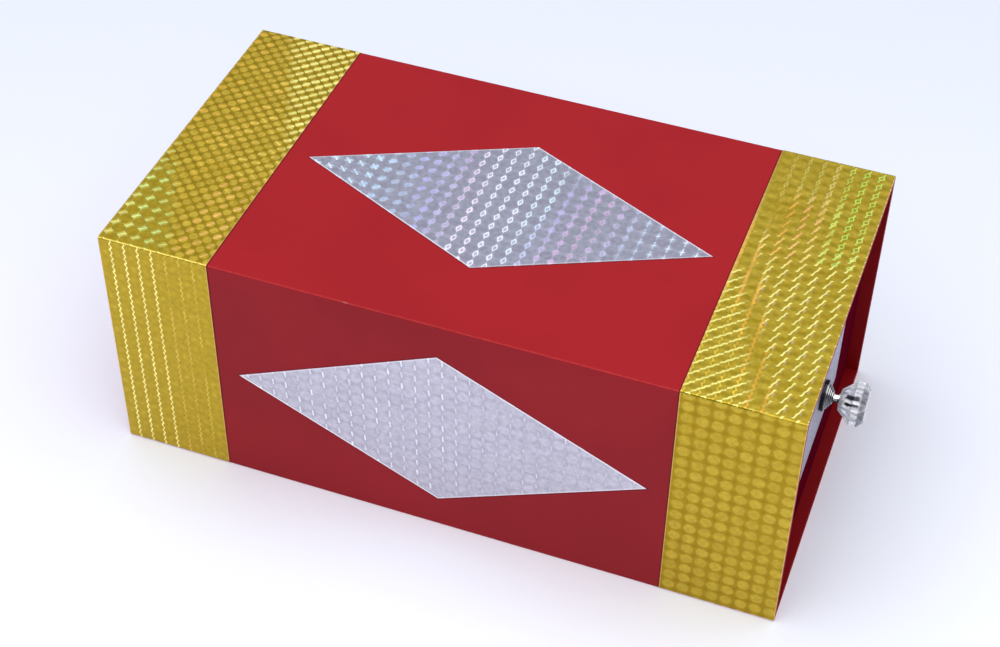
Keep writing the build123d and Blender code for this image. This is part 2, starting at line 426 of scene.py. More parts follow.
def flickerGroup():
    # a steady random value for each cell
    inputs = {"place": ["Place", "Shift"], "value": ["Low"]}
    group, given, result = makeGroup("flicker", inputs, {"value": ["Value"]})
    cells = vectorStep(group, "SCALE", given["Place"], 1 / lattice["pitch"])
    cells = vectorStep(group, "FLOOR", vectorStep(group, "ADD", cells, given["Shift"]))
    x, y = splitPlace(group, cells)[:2]
    chance = group.nodes.new("ShaderNodeTexWhiteNoise")
    chance.noise_dimensions = "2D"
    group.links.new(joinPlace(group, x, y), chance.inputs["Vector"])
    spread = minus(group, 1.0, given["Low"])
    value = timesPlus(group, chance.outputs["Value"], spread, given["Low"])
    group.links.new(value, result["Value"])
    return group


def creaseGroup(plan, zone):
    # dashes along the film's folds over the case's long edges
    inputs = {"place": ["Place"], "value": ["Step", "Low", "High"]}
    group, given, result = makeGroup("crease", inputs, {"value": ["Mask"]})
    u, v = splitPlace(group, given["Place"])[:2]
    wave = mathStep(group, "SINE", times(group, u, plan["waves"]))
    wavy = timesPlus(group, wave, plan["waveHeight"] * mm, v)
    mask = lineMask(group, mathStep(group, "ABSOLUTE", wavy), plan["line"], plan["halfWidth"])
    steps = timesPlus(group, u, 1 / lattice["pitch"], given["Step"])
    dash = mathStep(group, "ABSOLUTE", minus(group, mathStep(group, "FRACT", steps), 0.5))
    mask = times(group, mask, smoothStep(group, dash, *plan["dash"]))
    ends = {"Low": given["Low"], "High": given["High"], "Near": -400 * mm, "Far": 400 * mm, "Fade": plan["fade"] * mm}
    inside = useGroup(group, zone, Place=given["Place"], **ends)["Mask"]
    group.links.new(times(group, mask, inside), result["Mask"])
    return group


def cutEdgeGroup(plan):
    # painted highlight along a band's two cut edges, broken up by its grain
    inputs = {"place": ["Place"], "value": ["Low", "High", "Grain"]}
    group, given, result = makeGroup("cutEdge", inputs, {"value": ["Mask"]})
    u = splitPlace(group, given["Place"])[0]
    lines = []
    for side in ("Low", "High"):
        facts = {"Value": u, "Middle": given[side], "Half Width": plan["halfWidth"] * mm}
        lines.append(useGroup(group, sharedGroups["band"], **facts)["Mask"])
    cut = mathStep(group, "MAXIMUM", *lines)
    group.links.new(times(group, cut, given["Grain"]), result["Mask"])
    return group


def diamondRimGroup(plan):
    # painted highlight along a diamond's cut edges, brighter on two of the four sides
    inputs = {"place": ["Place"], "value": ["Depth", "Middle"]}
    group, given, result = makeGroup("diamondRim", inputs, {"value": ["Mask"]})
    u, v = splitPlace(group, given["Place"])[:2]
    rim = smoothStep(group, given["Depth"], *plan["depth"])
    lifted = minus(group, mathStep(group, "ABSOLUTE", v), given["Middle"])
    lifted = times(group, times(group, lifted, mathStep(group, "SIGN", v)), u)
    lifted = timesPlus(group, mathStep(group, "GREATER_THAN", lifted, 0.0), plan["more"], plan["dim"])
    group.links.new(times(group, rim, lifted), result["Mask"])
    return group


filmGroups = {
    "wrap": wrapRoundGroup(),
    "stroke": strokeGroup(),
    "disc": discGroup(),
    "zone": zoneGroup(),
    "flicker": flickerGroup(),
    "cutEdge": cutEdgeGroup(filmFacts["cut"]),
    "diamondRim": diamondRimGroup(filmFacts["rim"]),
}
filmGroups["crease"] = creaseGroup(filmFacts["crease"], filmGroups["zone"])

# In a mark, radius, soft, reach, width, split, loop and wave are in cells, and turn is in degrees. The shift
# puts the mark's centre in the lattice. A zone is (low, high, near, far, fade) in mm: low to high along the
# case, leaning by "lean", and near to far over the top. Tints run from the zone's low side to its high side.
everywhere = (-400, 400, -400, 400, 5)
markDefaults = {"zone": everywhere, "lean": 0.0, "strength": 1.0, "steady": 0.6, "split": 0.0, "loop": 1.0,
                "knob": 0.0, "wave": 0.0}


def disc(shift, **facts):
    return markDefaults | {"kind": "disc", "shift": shift} | facts


def stroke(shift, **facts):
    return markDefaults | {"kind": "stroke", "shift": shift} | facts


# colours of the painted glints
paleYellow, brightYellow, orange = (1.0, 0.95, 0.3), (1.0, 0.80, 0.10), (0.95, 0.46, 0.07)
green, yellowGreen, salmon = (0.52, 0.82, 0.14), (0.90, 0.96, 0.24), (0.97, 0.50, 0.18)
frontNode, frontDisc = (0.396, 0.5), (0.896, 0.0)
goldFrontSideMarks = [
    disc((0.896, 0.352), radius=2.0, soft=0.1, tints=[(0.42, 0.275, 0.013)], steady=0.9),
    disc((0.896, 0.352), radius=0.48, soft=0.14, tints=[(0.59, 0.42, 0.044)]),
    disc((0.396, 0.852), radius=0.26, soft=0.2, tints=[(0.33, 0.2, 0.003)], strength=0.6, steady=0.3),
]
goldFrontTopMarks = [
    disc(frontDisc, radius=0.5, soft=0.26, tints=[(0.67, 0.485, 0.048)], strength=0.9, steady=0.55),
    disc((0.896, 0.5), radius=0.38, soft=0.26, tints=[(0.42, 0.285, 0.010)], strength=0.6, steady=0.4),
    stroke(frontNode, turn=90, reach=0.52, width=0.16, lean=0.31, zone=(60, 108, -18, 80, 14),
           tints=[(0.8, 0.56, 0.13)], strength=0.75),
    stroke(frontNode, turn=90, reach=0.52, width=0.1, knob=0.6, wave=0.06, lean=0.31, zone=(60, 100, -82, -16, 6),
           tints=[brightYellow, (1.0, 0.7, 0.08)], strength=0.8, steady=0.5),
    stroke(frontNode, turn=90, reach=0.53, width=0.14, wave=0.05, lean=0.31, zone=(102, 109, -82, 26, 5),
           tints=[orange], strength=0.8),
    stroke(frontNode, turn=43, reach=0.76, width=0.105, knob=0.5, wave=0.03, lean=0.31, zone=(60, 100, -82, -4, 6),
           tints=[(1.0, 0.95, 0.26), paleYellow], steady=0.85),
    stroke((0.31, 0.5), turn=66, reach=0.58, width=0.09, knob=0.9, wave=0.02, lean=0.31, zone=(113, 200, -82, 20, 6),
           tints=[paleYellow], steady=0.85),
    stroke((0.12, 0.5), turn=78, reach=0.2, width=0.09, lean=0.31, zone=(113, 200, -82, 0, 8),
           tints=[(0.75, 0.5, 0.42)], strength=0.6, steady=0.1),
    stroke((0.31, 0.5), turn=66, reach=0.53, width=0.09, knob=0.7, split=0.04, loop=0.25, zone=(112, 130, 10, 52, 6),
           tints=[orange, salmon, (1.0, 0.8, 0.22)], strength=0.9, steady=0.7),
    stroke((0.34, 0.5), turn=70, reach=0.58, width=0.085, split=0.19, loop=0.28, lean=-0.06,
           zone=(133, 160, 14, 84, 5), tints=[green, yellowGreen], steady=0.8),
    stroke((0.34, 0.5), turn=76, reach=0.56, width=0.08, split=0.17, loop=0.27, zone=(124, 133, 36, 84, 6),
           tints=[salmon, (0.62, 0.85, 0.15)], strength=0.9, steady=0.65),
    stroke((0.36, 0.5), turn=84, reach=0.52, width=0.08, split=0.1, loop=0.3, zone=(108, 124, 50, 84, 8),
           tints=[(0.78, 0.64, 0.16), (0.62, 0.74, 0.2)], strength=0.65),
]
goldFrontPlan = {
    "ground": ((0.55, 0.40, 0.034), (0.51, 0.355, 0.020)),
    "edges": (100.0, 150.0),
    "fold": {"tint": (0.05, 0.05, 0.0), "low": 98, "high": 128, "step": 0.396},
    "marks": {"side": goldFrontSideMarks, "top": goldFrontTopMarks},
}
rearNode, rearDisc = (0.13, 0.41), (0.63, 0.91)
goldRearTopMarks = [
    disc(rearDisc, radius=0.38, soft=0.16, tints=[(0.76, 0.545, 0.056), (0.74, 0.53, 0.056)], steady=0.7),
    disc(rearNode, radius=0.38, soft=0.16, tints=[(0.78, 0.535, 0.052)], steady=0.7),
    stroke(rearNode, turn=12, reach=0.34, width=0.16, zone=(-154, -108, -10, 84, 14),
           tints=[orange, (0.95, 0.6, 0.12), (1.0, 0.8, 0.2)], strength=0.75, steady=0.2),
    stroke(rearDisc, turn=150, reach=0.3, width=0.12, zone=(-130, -98, -34, 84, 12),
           tints=[(0.95, 0.55, 0.1), (1.0, 0.78, 0.2)], strength=0.7, steady=0.1),
    disc(rearNode, radius=0.66, soft=0.3, lean=0.45, zone=(-190, -164, -82, -34, 14),
         tints=[(0.95, 0.74, 0.12), (0.82, 0.78, 0.18), (0.55, 0.64, 0.14)], strength=0.72, steady=0.45),
    disc(rearDisc, radius=0.525, soft=0.1, lean=0.45, zone=(-210, -160, -82, -34, 12),
         tints=[(0.45, 0.3, 0.012), (0.5, 0.35, 0.020)], steady=0.9),
    stroke(rearNode, turn=32, reach=0.34, width=0.075, knob=1.2, lean=0.45, zone=(-190, -156, -82, -4, 8),
           tints=[paleYellow, (0.95, 1.0, 0.32), (0.62, 0.9, 0.3)], strength=0.95, steady=0.55),
    stroke(rearNode, turn=68, reach=0.3, width=0.075, knob=0.8, lean=0.45, zone=(-190, -158, -82, -8, 8),
           tints=[paleYellow, (0.62, 0.9, 0.3)], strength=0.9, steady=0.4),
    stroke(rearNode, turn=46, reach=0.33, width=0.19, knob=-0.3, lean=0.42, zone=(-98, -60, -20, 84, 7),
           tints=[(1.0, 0.97, 0.32)], steady=0.75),
    stroke(rearDisc, turn=46, reach=0.33, width=0.19, knob=-0.3, lean=0.42, zone=(-98, -60, -20, 84, 7),
           tints=[paleYellow], steady=0.7),
    stroke(rearNode, turn=50, reach=0.32, width=0.14, zone=(-117, -98, -82, -26, 8), tints=[salmon, (1.0, 0.62, 0.25)],
           strength=0.85, steady=0.4),
]
goldRearSideMarks = [
    disc(rearDisc, radius=2.0, soft=0.1, tints=[(0.52, 0.36, 0.026)], steady=0.95),
    disc(rearNode, radius=0.34, soft=0.3, tints=[(0.66, 0.48, 0.055)], strength=0.6, steady=0.1),
    stroke((0.633, 0.5), turn=90, reach=0.56, width=0.08, knob=1.0, wave=0.06, zone=(-154, -126, -240, 240, 5),
           tints=[paleYellow, (1.0, 0.9, 0.35), (1.0, 0.85, 0.3)], steady=0.8),
    stroke((0.633, 0.5), turn=90, reach=0.5, width=0.07, knob=1.0, wave=0.06, zone=(-121, -104, -240, 240, 4),
           tints=[(0.95, 0.66, 0.18), (0.85, 0.66, 0.12)], strength=0.6, steady=0.1),
]
goldRearPlan = {
    "ground": ((0.43, 0.29, 0.014), (0.39, 0.26, 0.010)),
    "edges": (-150.0, -100.5),
    # painted highlight: bright dashes along the fold
    "fold": {"tint": (1.0, 0.8, 0.2), "low": -152, "high": -100, "step": 0.696},
    "marks": {"top": goldRearTopMarks, "side": goldRearSideMarks},
}
silverNode = (0.647, 0.84)
# colours of the painted glints
iceBlue, lavender, pink = (0.55, 0.72, 0.95), (0.56, 0.46, 0.93), (0.93, 0.45, 0.78)
silverTopMarks = [
    disc((0.147, 0.34), radius=0.5, soft=0.16, tints=[(0.4, 0.385, 0.455)], strength=0.8, steady=0.3),
    disc(silverNode, radius=0.4, soft=0.3, tints=[(0.62, 0.61, 0.7)], strength=0.85, steady=0.4),
    stroke(silverNode, turn=90, reach=0.52, width=0.04, zone=(-30, 34, -60, 60, 10), tints=[(0.68, 0.68, 0.75)],
           strength=0.75),
    stroke(silverNode, turn=-46, reach=0.36, width=0.11, knob=0.3, zone=(-92, -62, -60, 60, 6),
           tints=[(0.85, 1.0, 1.0), (0.7, 0.95, 1.0)], steady=0.8),
    stroke(silverNode, turn=20, reach=0.33, width=0.07, split=0.05, loop=0.6, zone=(-92, -58, -60, 60, 8),
           tints=[(0.8, 0.97, 1.0), iceBlue], strength=0.8, steady=0.5),
    stroke(silverNode, turn=40, reach=0.33, width=0.12, split=0.12, loop=0.7, zone=(-62, -30, -60, 60, 8),
           tints=[(0.62, 0.84, 0.98), iceBlue, (0.5, 0.55, 0.95)], strength=0.75, steady=0.5),
    stroke(silverNode, turn=64, reach=0.33, width=0.085, split=0.17, loop=0.36, lean=0.25, zone=(-40, -14, -60, 60, 6),
           tints=[lavender, (0.75, 0.6, 0.9), pink], strength=0.85, steady=0.55),
    stroke(silverNode, turn=84, reach=0.37, width=0.085, split=0.16, loop=0.36, lean=0.1, zone=(-16, 18, -60, 60, 6),
           tints=[(1.0, 0.95, 1.0), (0.95, 1.0, 1.0), (0.8, 1.0, 1.0)], steady=0.8),
    stroke(silverNode, turn=82, reach=0.34, width=0.08, split=0.16, loop=0.34, lean=-0.2, zone=(22, 54, -60, 60, 6),
           tints=[lavender, pink, (0.62, 0.6, 0.86)], strength=0.85, steady=0.55),
    stroke(silverNode, turn=88, reach=0.4, width=0.07, knob=-0.5, zone=(58, 92, -60, 60, 7),
           tints=[iceBlue, (0.85, 1.0, 1.0)], steady=0.7),
    stroke(silverNode, turn=20, reach=0.17, width=0.07, zone=(64, 92, -60, 60, 6), tints=[(0.85, 0.98, 1.0)],
           steady=0.7),
]
silverTopPlan = {
    "ground": ((0.45, 0.45, 0.52), (0.50, 0.50, 0.575)),
    "stretch": 1.03,
    "diamond": (90.5, 42.25, 0.0),
    "marks": {"all": silverTopMarks},
}
silverSideMarks = [
    disc((0.593, 0.913), radius=0.5, soft=0.16, tints=[(0.635, 0.62, 0.705)], strength=0.85, steady=0.5),
    stroke((0.093, 0.473), turn=-38, reach=0.36, width=0.13, tints=[(0.4, 0.39, 0.47)], strength=0.8, steady=0.5),
    stroke((0.093, 0.413), turn=96, reach=0.28, width=0.09, knob=-0.4, zone=(-92, 4, -400, 400, 14),
           tints=[(0.95, 0.95, 1.0)], strength=0.85, steady=0.35),
    stroke((0.093, 0.413), turn=98, reach=0.22, width=0.06, knob=-0.4, zone=(10, 92, -400, 400, 8),
           tints=[(0.95, 0.8, 0.92), (0.74, 0.74, 0.82)], strength=0.8, steady=0.2),
]
silverSidePlan = {
    # painted reflection: the side films are a lighter silver than the top film
    "ground": ((0.51, 0.495, 0.58), (0.55, 0.535, 0.615)),
    "stretch": 1.055,
    "diamond": (90.5, 42.25, 138.9),
    "marks": {"all": silverSideMarks},
}
silverLabelMarks = [
    disc((0.5, 0.5), radius=0.46, soft=0.16, tints=[(0.3, 0.29, 0.36)], strength=0.7, steady=0.3),
    stroke((0.0, 0.0), turn=60, reach=0.34, width=0.075, split=0.16, loop=0.34,
           tints=[(0.62, 0.66, 0.8), (0.7, 0.6, 0.82)], strength=0.8, steady=0.4),
]
silverLabelPlan = {
    # painted shade: the label's silver is darker, in the recess of the case's mouth
    "ground": ((0.34, 0.34, 0.42), (0.38, 0.38, 0.46)),
    "marks": {"all": silverLabelMarks},
}


def markMask(tree, place, face, mark):
    shift = (*mark["shift"], 0.0)
    if mark["kind"] == "disc":
        shape = useGroup(tree, filmGroups["disc"], Place=place, Shift=shift, Radius=mark["radius"], Soft=mark["soft"])
    else:
        facts = {name.capitalize(): mark[name] for name in ("reach", "width", "split", "loop", "knob", "wave")}
        facts["Turn"] = math.radians(mark["turn"])
        shape = useGroup(tree, filmGroups["stroke"], Place=place, Shift=shift, **facts)
    sides = dict(zip(("Low", "High", "Near", "Far", "Fade"), inMetres(mark["zone"])))
    zone = useGroup(tree, filmGroups["zone"], Place=place, Lean=mark["lean"], **sides)
    chance = useGroup(tree, filmGroups["flicker"], Place=place, Shift=shift, Low=mark["steady"])
    mask = times(tree, shape["Mask"], zone["Mask"])
    mask = times(tree, mask, chance["Value"])
    if face != "all":
        over = mathStep(tree, "ABSOLUTE", splitPlace(tree, place)[1])
        test = "LESS_THAN" if face == "top" else "GREATER_THAN"
        mask = times(tree, mask, mathStep(tree, test, over, filmFacts["side"] * mm))
    mask = times(tree, mask, mark["strength"])
    tints = mark["tints"]
    colour = tints[0]
    for step, tint in enumerate(tints[1:]):
        share = smoothStep(tree, zone["Across"], step / (len(tints) - 1), (step + 1) / (len(tints) - 1))
        colour = blendColour(tree, share, colour, tint)
    return mask, colour


def filmMaterial(name, plan, wrapped=True):
    material, tree, shader, objectPlace = newMaterial(name)
    if wrapped:
        place = useGroup(tree, filmGroups["wrap"], Place=objectPlace)["Place"]
    else:  # a film that faces along the case: across, then up
        place = joinPlace(tree, *splitPlace(tree, objectPlace)[1:])
    u, v = splitPlace(tree, place)[:2]
    cells = joinPlace(tree, times(tree, u, plan.get("stretch", 1.0)), v)
    grain = useGroup(tree, sharedGroups["grain"], Place=joinPlace(tree, u, v), Grain=filmFacts["grain"],
                     Cloud=filmFacts["cloud"])
    mottle = grain["Fine"]
    colour = blendColour(tree, grain["Cloudy"], *plan["ground"])
    glint = 0.0
    # the strokes paint the film's glints in their tints, as painted highlights
    for face, marks in plan["marks"].items():
        for mark in marks:
            mask, tint = markMask(tree, cells, face, mark)
            colour = blendColour(tree, mask, colour, tint)
            if mark["kind"] == "stroke":
                glint = mathStep(tree, "MAXIMUM", mask, glint)
    shade = smoothStep(tree, mottle, 0.3, 0.7, *filmFacts["mottle"])
    colour = blendColour(tree, 1.0, colour, joinPlace(tree, shade, shade, shade), "MULTIPLY")
    if "edges" in plan:
        low, high = inMetres(plan["edges"])
        # painted highlight along the band's cut edges
        cut = useGroup(tree, filmGroups["cutEdge"], Place=place, Low=low, High=high, Grain=mottle)
        colour = blendColour(tree, cut["Mask"], colour, filmFacts["cut"]["tint"])
        fold = plan["fold"]
        ends = {"Low": fold["low"] * mm, "High": fold["high"] * mm}
        crease = useGroup(tree, filmGroups["crease"], Place=place, Step=fold["step"], **ends)
        colour = lay(tree, colour, crease["Mask"], filmFacts["crease"]["amount"], fold["tint"])
    if "diamond" in plan:
        # painted highlight along the diamond's cut edges
        depth = diamondDepth(tree, place, plan["diamond"])
        rim = useGroup(tree, filmGroups["diamondRim"], Place=place, Depth=depth, Middle=plan["diamond"][2] * mm)
        colour = blendColour(tree, rim["Mask"], colour, filmFacts["rim"]["tint"])
    coat(tree, shader, colour, mottle, filmFacts)
    # painted glow where the painted glints are
    feed(tree, blendColour(tree, glint, (0.0, 0.0, 0.0), colour), shader["Emission Color"])
    shader["Emission Strength"].default_value = filmFacts["glow"]
    shader["Metallic"].default_value = filmFacts["metallic"]
    return material


def dressFilms():
    paint(filmMaterial("goldFilmFront", goldFrontPlan), "front_gold_band")
    paint(filmMaterial("goldFilmRear", goldRearPlan), "rear_gold_band")
    paint(filmMaterial("silverFilmTop", silverTopPlan), "top_silver_diamond")
    paint(filmMaterial("silverFilmSide", silverSidePlan), "near_silver_diamond", "far_silver_diamond")
    paint(filmMaterial("silverFilmLabel", silverLabelPlan, wrapped=False), "drawer_front_label")


# boards; lengths in mm

redPlan = {
    "colour": (0.405, 0.0125, 0.0165),
    "deeper": (0.375, 0.0105, 0.0145),
    # painted shade: the case's sides are a darker red than its top
    "side": (0.315, 0.0088, 0.0160),
    "sideDeeper": (0.275, 0.0078, 0.0145),
    # painted shade of the case's inner walls, in its recess
    "inside": (0.24, 0.002, 0.004),
    "line": (0.09, 0.002, 0.005),  # painted shadow beside the films' cut edges
    # for specks, and for the painted highlight along the long edges
    "worn": (0.60, 0.05, 0.045),
    "chip": (0.80, 0.55, 0.55),
    # of these amounts, 'side' is the painted shade, 'line' the painted shadow and 'worn' the painted highlight along
    # the edges
    "amounts": {"speck": 0.12, "worn": 0.55, "chip": 0.7, "side": 0.85, "line": 0.6},
    "grain": {"Grain": 1500, "Cloud": 16},
    "edges": {"Half Width": 79.5, "Bottom": 0.0, "Top": 118.0, "Reach": 0.7},
    "outer": {"side": 79.3, "top": 117.6},  # the sides' painted shade starts at the first and ends below the second
    "inner": {"side": 76.6, "bottom": 2.9, "top": 115.1, "back": -149.9},
    "bandLines": {"middles": (99.8, -100.3), "halfWidth": 0.6},
    "diamondLine": (-0.022, -0.008),
    "specular": 0.12,
    "rough": (0.25, 0.75, 0.45, 0.58),
    "bump": (0.15, 0.0002),
}
drawerRedPlan = {
    # painted shade: the drawer is a much darker red than the case, for the shade of the recess it sits in
    "colour": (0.11, 0.0015, 0.011),
    "deeper": (0.085, 0.001, 0.008),
    "worn": (0.26, 0.008, 0.012),
    "wornAmount": 0.35,
    "grain": {"Grain": 1500, "Cloud": 30},
    "edges": {"Half Width": 75.75, "Bottom": 3.3, "Top": 114.0, "Reach": 0.6},
    "specular": 0.0,  # a gloss here would mirror the floor at grazing angles
    "rough": (0.25, 0.75, 0.6, 0.75),
    "bump": (0.15, 0.0002),
}
blackPlan = {
    "colour": (0.012, 0.011, 0.012),
    "brush": (0.026, 0.025, 0.027),
    "worn": (0.10, 0.085, 0.07),
    "wornAmount": 0.25,
    "stretch": (0.12, 1.0, 1.0),  # brush marks run along the box
    "specular": 0.3,
    "rough": (0.3, 0.7, 0.5, 0.68),
    "bump": (0.25, 0.0003),
}


def edgeLineAndChipsGroup():
    # distance from the box's long top and bottom edges, broken up by noise
    depth, core, chipped = -1.2 * mm, 0.3, (0.60, 0.70)
    inputs = {"place": ["Place"], "value": ["Half Width", "Bottom", "Top", "Reach"]}
    group, given, result = makeGroup("edgeLineAndChips", inputs, {"value": ["Line", "Chips"]})
    y, z = splitPlace(group, given["Place"])[1:]
    fromSide = minus(group, given["Half Width"], mathStep(group, "ABSOLUTE", y))
    fromTop = minus(group, given["Top"], z)
    fromBottom = minus(group, z, given["Bottom"])
    away = mathStep(group, "MAXIMUM", fromSide, mathStep(group, "MINIMUM", fromTop, fromBottom))
    ragged = minus(group, noise(group, given["Place"], 700, detail=4.0, rough=0.65), 0.5)
    away = timesPlus(group, ragged, depth, away)
    line = smoothStep(group, away, given["Reach"], times(group, given["Reach"], core))
    group.links.new(line, result["Line"])
    patches = smoothStep(group, noise(group, given["Place"], 45, detail=3.0, rough=0.7), *chipped)
    group.links.new(times(group, line, patches), result["Chips"])
    return group


boardGroups = {"edgeLineAndChips": edgeLineAndChipsGroup()}


def edgeLineAndChips(tree, place, plan):
    sizes = {name: size * mm for name, size in plan["edges"].items()}
    return useGroup(tree, boardGroups["edgeLineAndChips"], Place=place, **sizes)


def redMaterial(plan):
    material, tree, shader, place = newMaterial("redCover")
    amounts, outer, inner = plan["amounts"], plan["outer"], plan["inner"]
    grain = useGroup(tree, sharedGroups["grain"], Place=place, **plan["grain"])
    fine, cloud = grain["Fine"], grain["Cloudy"]
    colour = blendColour(tree, cloud, plan["colour"], plan["deeper"])
    colour = lay(tree, colour, smoothStep(tree, fine, 0.62, 0.74), amounts["speck"], plan["worn"])
    edgeHighlightAndChips = edgeLineAndChips(tree, place, plan)
    # painted highlight: a lighter red line along the long edges; the chips are wear
    colour = lay(tree, colour, edgeHighlightAndChips["Line"], amounts["worn"], plan["worn"])
    colour = lay(tree, colour, edgeHighlightAndChips["Chips"], amounts["chip"], plan["chip"])
    x, y, z = splitPlace(tree, place)
    aside = mathStep(tree, "ABSOLUTE", y)
    # painted shade: the sides get a darker red than the top
    paintedShadeOnSide = allTrue(tree, [(aside, "GREATER_THAN", outer["side"]), (z, "LESS_THAN", outer["top"])])
    colour = lay(tree, colour, paintedShadeOnSide, amounts["side"], blendColour(tree, cloud, plan["side"], plan["sideDeeper"]))
    wrapped = useGroup(tree, filmGroups["wrap"], Place=place)["Place"]
    u = splitPlace(tree, wrapped)[0]
    # painted shadow: a dark line on the red beside the bands' and diamonds' edges
    bandLines = plan["bandLines"]
    lines = [lineMask(tree, u, middle, bandLines["halfWidth"]) for middle in bandLines["middles"]]
    line = mathStep(tree, "MAXIMUM", *lines)
    for film in (silverTopPlan, silverSidePlan):
        depth = diamondDepth(tree, wrapped, film["diamond"])
        outside = mathStep(tree, "LESS_THAN", depth, 0.0)
        beyond = times(tree, smoothStep(tree, depth, *plan["diamondLine"]), outside)
        line = mathStep(tree, "MAXIMUM", line, beyond)
    colour = lay(tree, colour, line, amounts["line"], plan["line"])
    # painted shade: the case's inner walls get a darker red
    inside = allTrue(tree, [
        (aside, "LESS_THAN", inner["side"]),
        (z, "GREATER_THAN", inner["bottom"]),
        (z, "LESS_THAN", inner["top"]),
        (x, "GREATER_THAN", inner["back"]),
    ])
    colour = blendColour(tree, inside, colour, plan["inside"])
    coat(tree, shader, colour, fine, plan)
    return material


def drawerRedMaterial(plan):
    # painted shade: a much darker red than the case's
    material, tree, shader, place = newMaterial("redDrawer")
    grain = useGroup(tree, sharedGroups["grain"], Place=place, **plan["grain"])
    colour = blendColour(tree, grain["Cloudy"], plan["colour"], plan["deeper"])
    colour = lay(tree, colour, edgeLineAndChips(tree, place, plan)["Line"], plan["wornAmount"], plan["worn"])
    coat(tree, shader, colour, grain["Fine"], plan)
    return material


def blackMaterial(plan):
    material, tree, shader, place = newMaterial("blackInside")
    stretched = tree.nodes.new("ShaderNodeMapping")
    stretched.inputs["Scale"].default_value = plan["stretch"]
    tree.links.new(place, stretched.inputs["Vector"])
    strokes = noise(tree, stretched.outputs[0], 900, detail=4.0, rough=0.6)
    colour = blendColour(tree, smoothStep(tree, strokes, 0.35, 0.75), plan["colour"], plan["brush"])
    rubbed = smoothStep(tree, noise(tree, place, 38, detail=4.0, rough=0.7), 0.66, 0.78)
    colour = lay(tree, colour, rubbed, plan["wornAmount"], plan["worn"])
    coat(tree, shader, colour, strokes, plan)
    return material


def dressBoards():
    caseBoards = [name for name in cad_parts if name.startswith("case_")]
    paint(redMaterial(redPlan), *caseBoards)
    drawerRed = drawerRedMaterial(drawerRedPlan)
    paint(drawerRed, "drawer_front_board", "drawer_near_rim", "drawer_far_rim", "drawer_front_rim")
    black = blackMaterial(blackPlan)
    paint(black, "drawer_near_side", "drawer_far_side", "drawer_floor_board")
    trayBoards = [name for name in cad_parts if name.startswith("tray_") and name != "tray_steel_disc"]
    paint(black, *trayBoards)


# knob and hardware; lengths in mm

knobBasePlan = {
    "seat": 144.8,
    "flange": 7.0,
    "sides": 72,
    # turned profile from the flange's back: distance along the axis, radius
    "profile": (
        (1.3, 7.0), (1.6, 6.8), (1.8, 6.3), (1.95, 5.7), (2.1, 5.55),
        (2.35, 5.45), (2.6, 5.2), (2.75, 4.8), (2.8, 4.4), (3.05, 4.35), (3.3, 4.1),
        (3.45, 3.75), (3.5, 3.35), (3.8, 3.3), (4.05, 3.05), (4.2, 2.7), (4.25, 2.15),
        (4.5, 1.9), (6.2, 1.8), (6.6, 2.1), (7.2, 3.2), (7.2, 2.48), (10.1, 2.48),
    ),
    "grooves": (2.0, 2.78, 3.48, 4.28),
    "smooth": 32,  # degrees
}
steel, brass, nickel = (0.56, 0.57, 0.58), (0.70, 0.47, 0.17), (0.62, 0.60, 0.56)
metalPlans = {
    "zincSteel": {"colour": steel, "dark": (0.40, 0.40, 0.40), "rough": 0.34, "grain": 1400, "marks": 0.8},
    "turnedBrass": {"colour": brass, "dark": (0.44, 0.26, 0.08), "rough": 0.24, "grain": 900, "marks": 0.6},
    "magnetNickel": {"colour": nickel, "dark": (0.42, 0.40, 0.37), "rough": 0.2, "grain": 700, "marks": 0.6},
}
chromePlan = {
    "colour": (0.80, 0.80, 0.82),
    "handled": (0.5, 0.5, 0.52),
    "handledAmount": 0.25,
    # painted grey reflection on the cone's face
    "cone": (0.21, 0.21, 0.225),
    "coneStart": (2.2, 2.8),  # distance from the axis
    # painted shade and dark reflections: the grooves, the flange's rim and streaks along the stem
    "dark": (0.012, 0.011, 0.013),
    # painted shade in the grooves, stronger where the painted bright streaks are
    "groove": {"halfWidth": 0.26, "least": 0.35, "more": 0.65},
    "edge": {"middle": 0.4, "halfWidth": 1.5, "amount": 0.95},  # painted dark reflection on the flange's rim
    # painted dark reflection streaks along the stem
    "shade": {"swing": (0.1, -0.5), "amount": 0.9},
    "glance": 0.8,  # how strongly the painted bright streaks glow, as painted highlights
    "light": 0.305,  # where the first of the two is, in turns from the far side
    "narrow": (0.72, 0.95),
    "broad": (0.45, 0.85),
    "specular": 0.12,
}
crystalPlan = {
    "back": 152.0,
    "sides": 8,
    "clear": (1.0, 1.0, 1.0),
    # painted reflection: each side gets its own tint at random
    "cool": (0.52, 0.55, 0.67),
    "coolAmount": 0.7,
    "dark": (0.004, 0.004, 0.006),
    "darkStreaks": ((-1.8, 1.5), (1.25, 0.9)),  # painted dark reflections: place beside the side's middle, half width
    # painted highlight streak
    "brightStreak": (-0.1, 0.8),
    "streakEnds": {"back": (2.2, 3.2), "front": (9.2, 8.2)},  # distance from the crystal's back
    "wobble": {"scale": 500, "width": 1.6},
    "strongSide": 0.375,  # the middle of one of them, in turns
    "faint": 0.25,  # the streaks on the other sides
    # painted dark reflection along the rim line, and painted darkness towards the crystal's back
    "rim": (0.085, 0.085, 0.11),
    "rimLine": (10.3, 1.9),
    "behind": (3.2, 1.0),
    "behindAmount": 0.6,
    # painted glow of the whole crystal in its colour, white on the bright streak
    "sparkle": 0.19,
    "transmission": 0.55,
    "index": 1.52,
}


